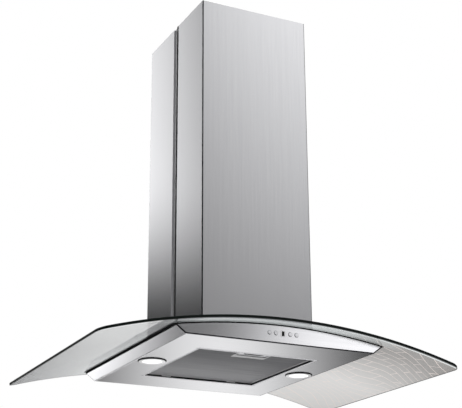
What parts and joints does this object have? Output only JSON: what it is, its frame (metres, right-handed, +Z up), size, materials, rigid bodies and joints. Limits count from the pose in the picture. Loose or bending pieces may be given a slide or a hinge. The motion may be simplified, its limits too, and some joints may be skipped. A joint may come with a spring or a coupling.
{
  "type": "island range hood",
  "caption": "Ceiling-hung island range hood: curved glass canopy, brushed steel telescoping flue, slim body with push buttons, lamps and a swing-down grease filter.",
  "frame": {"origin": "centre of the ceiling plate's top face, on the ceiling", "axes": "+Z up, -Y towards the front with the controls, +X to the right as seen from the front"},
  "size_m": [0.9, 0.65, 0.9118],
  "materials": {
    "brushed_stainless": "brushed stainless sheet, grain along the length",
    "canopy_glass": "toughened clear glass, ground edge, fine printed lines on the wings",
    "seal_rubber": "black extruded rubber",
    "galvanised_sheet": "galvanised steel sheet",
    "zinc_fasteners": "bright zinc plate",
    "filter_aluminium": "anodised channel",
    "filter_mesh": "expanded mesh, pleated",
    "latch_steel": "stainless strip",
    "lamp_chrome": "chrome plate",
    "lamp_lens_glass": "frosted glass",
    "lamp_reflector": "spun aluminium",
    "lamp_bulb_glass": "clear quartz capsule",
    "button_steel": "satin plated cap",
    "display_acrylic": "black gloss acrylic",
    "grey_polymer": "moulded grey polymer",
    "black_polymer": "moulded black polymer",
    "motor_enamel": "dark enamel",
    "capacitor_can": "moulded can",
    "circuit_board": "solder-masked board"
  },
  "bodies": {
    "ceiling_frame": {"ceiling_plate": "galvanised_sheet", "upper_posts": "galvanised_sheet", "upper_frame_bolts": "zinc_fasteners", "upper_flue_front": "brushed_stainless", "upper_flue_rear": "brushed_stainless", "upper_flue_screws": "zinc_fasteners"},
    "hood": {"flue_front_cover": "brushed_stainless", "flue_rear_cover": "brushed_stainless", "seam_strips": "brushed_stainless", "front_fascia": "brushed_stainless", "rear_fascia": "brushed_stainless", "left_side_panel": "brushed_stainless", "right_side_panel": "brushed_stainless", "bottom_panel": "brushed_stainless", "glass_canopy": "canopy_glass", "body_seal": "seal_rubber", "seam_seals": "seal_rubber", "airbox_seal": "seal_rubber", "rail_pads": "seal_rubber", "airbox": "galvanised_sheet", "lower_posts": "galvanised_sheet", "cross_rails": "galvanised_sheet", "flue_brackets": "galvanised_sheet", "motor_bracket": "galvanised_sheet", "post_foot_bolts": "zinc_fasteners", "glass_bolts": "zinc_fasteners", "damper_rod": "zinc_fasteners", "lamp_left_bezel": "lamp_chrome", "lamp_right_bezel": "lamp_chrome", "lamp_left_lens": "lamp_lens_glass", "lamp_right_lens": "lamp_lens_glass", "lamp_left_housing": "lamp_reflector", "lamp_right_housing": "lamp_reflector", "lamp_left_bulb": "lamp_bulb_glass", "lamp_right_bulb": "lamp_bulb_glass", "display_window": "display_acrylic", "scroll_housing": "grey_polymer", "outlet_adapter": "grey_polymer", "outlet_collar": "grey_polymer", "button_housing": "black_polymer", "terminal_box": "black_polymer", "cable_gland": "black_polymer", "lamp_transformer": "black_polymer", "motor": "motor_enamel", "capacitor": "capacitor_can", "control_board": "circuit_board"},
    "filter": {"filter_frame": "filter_aluminium", "filter_core": "filter_mesh", "latch_spring": "latch_steel"},
    "latch": {"filter_latch": "latch_steel"},
    "rotor": {"impeller": "grey_polymer", "motor_shaft": "zinc_fasteners"},
    "button_1": {"button_1": "button_steel"},
    "button_2": {"button_2": "button_steel"},
    "button_3": {"button_3": "button_steel"},
    "button_4": {"button_4": "button_steel"},
    "flap_front": {"flap_front": "grey_polymer"},
    "flap_rear": {"flap_rear": "grey_polymer"}
  },
  "joints": [
    {"name": "height_slide", "type": "slide", "parent": "ceiling_frame", "child": "hood", "axis": [0, 0, -1], "range_m": [0, 0.3]},
    {"name": "filter_swing", "type": "hinge", "parent": "hood", "child": "filter", "pos_m": [0, 0.1656, -0.8834], "axis": [1, 0, 0], "range_deg": [0, 55]},
    {"name": "latch_slide", "type": "slide", "parent": "filter", "child": "latch", "axis": [0, 1, 0], "range_m": [0, 0.006], "stiffness_N_per_m": 400, "springref_m": -0.004, "deforming": ["latch_spring"]},
    {"name": "rotor_spin", "type": "hinge", "parent": "hood", "child": "rotor", "pos_m": [0, -0.038, -0.7125], "axis": [1, 0, 0], "continuous": true},
    {"name": "flap_front_swing", "type": "hinge", "parent": "hood", "child": "flap_front", "pos_m": [0, 0, -0.5625], "axis": [-1, 0, 0], "range_deg": [0, 75]},
    {"name": "flap_rear_swing", "type": "hinge", "parent": "hood", "child": "flap_rear", "pos_m": [0, 0, -0.5625], "axis": [1, 0, 0], "range_deg": [0, 75]},
    {"name": "button_1_press", "type": "slide", "parent": "hood", "child": "button_1", "axis": [0, 1, 0], "range_m": [0, 0.001], "stiffness_N_per_m": 800, "springref_m": -0.001},
    {"name": "button_2_press", "type": "slide", "parent": "hood", "child": "button_2", "axis": [0, 1, 0], "range_m": [0, 0.001], "stiffness_N_per_m": 800, "springref_m": -0.001},
    {"name": "button_3_press", "type": "slide", "parent": "hood", "child": "button_3", "axis": [0, 1, 0], "range_m": [0, 0.001], "stiffness_N_per_m": 800, "springref_m": -0.001},
    {"name": "button_4_press", "type": "slide", "parent": "hood", "child": "button_4", "axis": [0, 1, 0], "range_m": [0, 0.001], "stiffness_N_per_m": 800, "springref_m": -0.001}
  ]
}
